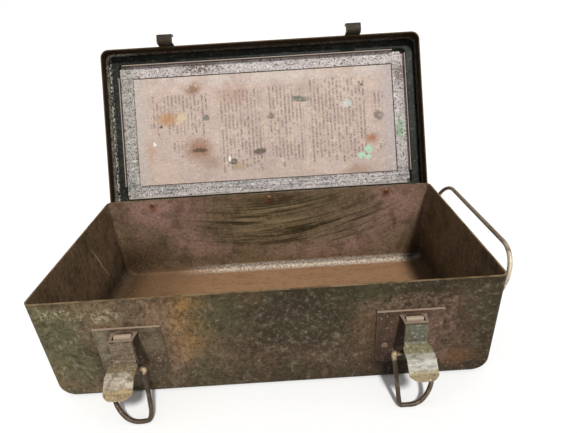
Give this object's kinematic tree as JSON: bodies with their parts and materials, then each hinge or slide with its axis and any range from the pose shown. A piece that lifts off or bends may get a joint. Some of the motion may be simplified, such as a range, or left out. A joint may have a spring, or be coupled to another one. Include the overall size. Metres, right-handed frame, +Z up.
{
  "type": "gasketed steel document box",
  "caption": "Small flat steel box with a gasketed hinged lid shown open, toggle latches with wire bails on the front and a wire swing handle on one end.",
  "frame": {"origin": "centre of the flat underside of the box body", "axes": "+X to the handle end along the length, -Y to the latches, +Y to the hinge, +Z up"},
  "size_m": [0.3347, 0.2924, 0.2324],
  "materials": {
    "body_paint": "worn olive-brown paint over primer, patchy",
    "lid_paint": "worn dark olive-brown paint",
    "gasket_rubber": "aged, soft gloss",
    "retainer_paint": "pale speckled primer",
    "label_paper": "stained, faded print",
    "latch_paint": "worn, primer showing",
    "worn_lever": "paint rubbed to bare metal",
    "wire_steel": "worn, brown patina",
    "rivet_steel": "rusty",
    "hinge_steel": "dull, light rust"
  },
  "bodies": {
    "box": {"end_and_floor_wrap": "body_paint", "front_panel": "body_paint", "rear_panel": "body_paint", "left_latch_plate": "latch_paint", "right_latch_plate": "latch_paint", "left_latch_rivets": "rivet_steel", "right_latch_rivets": "rivet_steel", "handle_saddle_front": "body_paint", "handle_saddle_rear": "body_paint", "handle_rivets": "rivet_steel", "hinge_body_leaf": "hinge_steel", "hinge_pin": "hinge_steel", "hinge_rivets": "rivet_steel"},
    "lid": {"lid_shell": "lid_paint", "lid_gasket": "gasket_rubber", "gasket_retainer_front": "retainer_paint", "gasket_retainer_left": "retainer_paint", "gasket_retainer_right": "retainer_paint", "gasket_retainer_rear": "retainer_paint", "label_card": "label_paper", "hinge_lid_leaf": "hinge_steel", "left_lid_hook": "latch_paint", "right_lid_hook": "latch_paint", "left_hook_rivets": "rivet_steel", "right_hook_rivets": "rivet_steel"},
    "handle": {"end_handle": "wire_steel"},
    "left_lever": {"left_latch_lever": "worn_lever"},
    "left_bail": {"left_latch_bail": "wire_steel"},
    "right_lever": {"right_latch_lever": "worn_lever"},
    "right_bail": {"right_latch_bail": "wire_steel"}
  },
  "joints": [
    {"name": "lid_hinge", "type": "hinge", "parent": "box", "child": "lid", "pos_m": [0, 0.0845, 0.072], "axis": [1, 0, 0], "range_deg": [0, 116.2]},
    {"name": "left_lever_pivot", "type": "hinge", "parent": "box", "child": "left_lever", "pos_m": [-0.098, -0.0889, 0.0599], "axis": [-1, 0, 0], "range_deg": [0, 85]},
    {"name": "left_bail_pivot", "type": "hinge", "parent": "left_lever", "child": "left_bail", "pos_m": [-0.098, -0.0875, 0.0325], "axis": [-1, 0, 0], "range_deg": [-25, 105]},
    {"name": "right_lever_pivot", "type": "hinge", "parent": "box", "child": "right_lever", "pos_m": [0.098, -0.0889, 0.0599], "axis": [-1, 0, 0], "range_deg": [0, 85]},
    {"name": "right_bail_pivot", "type": "hinge", "parent": "right_lever", "child": "right_bail", "pos_m": [0.098, -0.0875, 0.0325], "axis": [-1, 0, 0], "range_deg": [-25, 105]},
    {"name": "handle_pivot", "type": "hinge", "parent": "box", "child": "handle", "pos_m": [0.1617, 0, 0.063], "axis": [0, 1, 0], "range_deg": [0, 158]}
  ]
}
